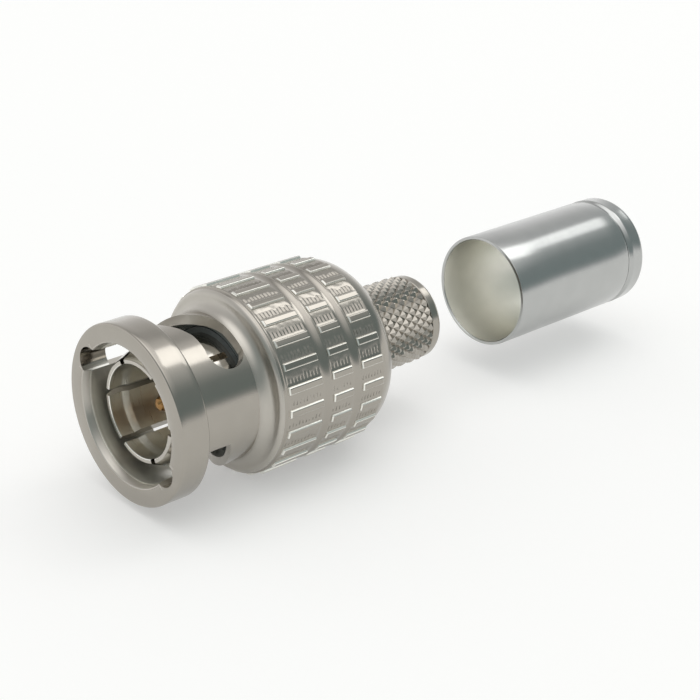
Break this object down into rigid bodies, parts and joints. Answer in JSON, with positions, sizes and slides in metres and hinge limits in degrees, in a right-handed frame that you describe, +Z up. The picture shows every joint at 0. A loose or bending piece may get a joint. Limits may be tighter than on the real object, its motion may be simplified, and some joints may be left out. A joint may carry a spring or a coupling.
{
  "type": "bnc connector",
  "caption": "Bayonet coaxial plug with a ribbed coupling shell, spring-fingered contact and knurled barrel, and its loose crimp sleeve.",
  "frame": {"origin": "centre of the mating face, on the plug's axis", "axes": "+X along the plug's axis towards the cable, +Z up, with the plug lying on the ribs of its grip"},
  "size_m": [0.0504, 0.014, 0.014],
  "materials": {
    "shell_nickel": "satin turned nickel plate",
    "contact_nickel": "bright nickel plate",
    "barrel_nickel": "diamond-knurled nickel plate",
    "sleeve_tin": "bright tin plate",
    "spring_steel": "spring steel",
    "pin_gold": "gold plate",
    "insulator": "brown moulded insulator",
    "seal_rubber": "silicone rubber"
  },
  "bodies": {
    "plug_body": {"outer_contact": "contact_nickel", "face_gasket": "seal_rubber", "front_insulator": "insulator", "rear_insulator": "insulator", "centre_contact": "pin_gold", "crimp_barrel": "barrel_nickel", "collar_washer": "spring_steel", "wave_washer_1": "spring_steel", "wave_washer_2": "spring_steel", "wave_washer_3": "spring_steel", "wave_washer_4": "spring_steel"},
    "spring_seat": {"thrust_washer": "spring_steel"},
    "coupling": {"coupling_shell": "shell_nickel", "snap_ring": "spring_steel"},
    "sleeve": {"crimp_sleeve": "sleeve_tin"}
  },
  "joints": [
    {"name": "coupling_float", "type": "slide", "parent": "plug_body", "child": "spring_seat", "axis": [-1, 0, 0], "range_m": [0, 0.0012], "stiffness_N_per_m": 1500, "springref_m": -0.001, "deforming": ["wave_washer_1", "wave_washer_2", "wave_washer_3", "wave_washer_4"]},
    {"name": "coupling_turn", "type": "hinge", "parent": "spring_seat", "child": "coupling", "pos_m": [0.01, 0, 0], "axis": [-1, 0, 0], "continuous": true},
    {"name": "sleeve_slide", "type": "slide", "parent": "plug_body", "child": "sleeve", "axis": [-1, 0, 0], "range_m": [0, 0.0147]}
  ]
}
